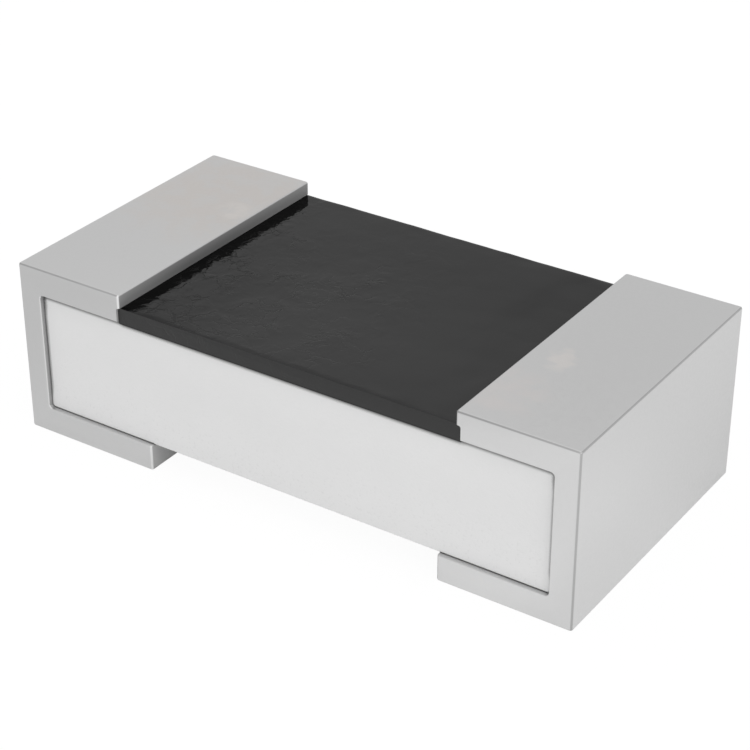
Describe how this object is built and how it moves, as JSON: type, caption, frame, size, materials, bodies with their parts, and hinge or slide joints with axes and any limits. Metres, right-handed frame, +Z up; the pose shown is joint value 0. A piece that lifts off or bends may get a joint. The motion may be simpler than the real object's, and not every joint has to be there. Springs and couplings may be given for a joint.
{
  "type": "smd chip resistor",
  "caption": "Thick-film chip resistor: white ceramic block with a black-coated trimmed film on top, between C-shaped tin-plated solder ends.",
  "frame": {"origin": "middle of the chip, the point that placement data refer to", "axes": "+X along the chip from the left to the right plated end, +Z up, away from the board, -Y the side nearest the camera"},
  "size_m": [0.0016, 0.0008, 0.0004],
  "materials": {
    "alumina": "fine matte alumina",
    "silver_print": "fired silver print, dull",
    "resistor_paste": "fired resistor print, matte dark grey",
    "glass_glaze": "thin fired glass",
    "black_resin": "glossy, finely wrinkled resin",
    "silver_resin": "cured silver-filled resin, dull",
    "nickel": "plated nickel, satin",
    "tin": "plated tin, satin"
  },
  "bodies": {
    "root": {"ceramic_block": "alumina", "left_top_electrode": "silver_print", "right_top_electrode": "silver_print", "left_bottom_electrode": "silver_print", "right_bottom_electrode": "silver_print", "resistor_film": "resistor_paste", "glass_layer": "glass_glaze", "black_coat": "black_resin", "left_end_electrode": "silver_resin", "right_end_electrode": "silver_resin", "left_nickel_layer": "nickel", "right_nickel_layer": "nickel", "left_tin_layer": "tin", "right_tin_layer": "tin"}
  },
  "joints": []
}
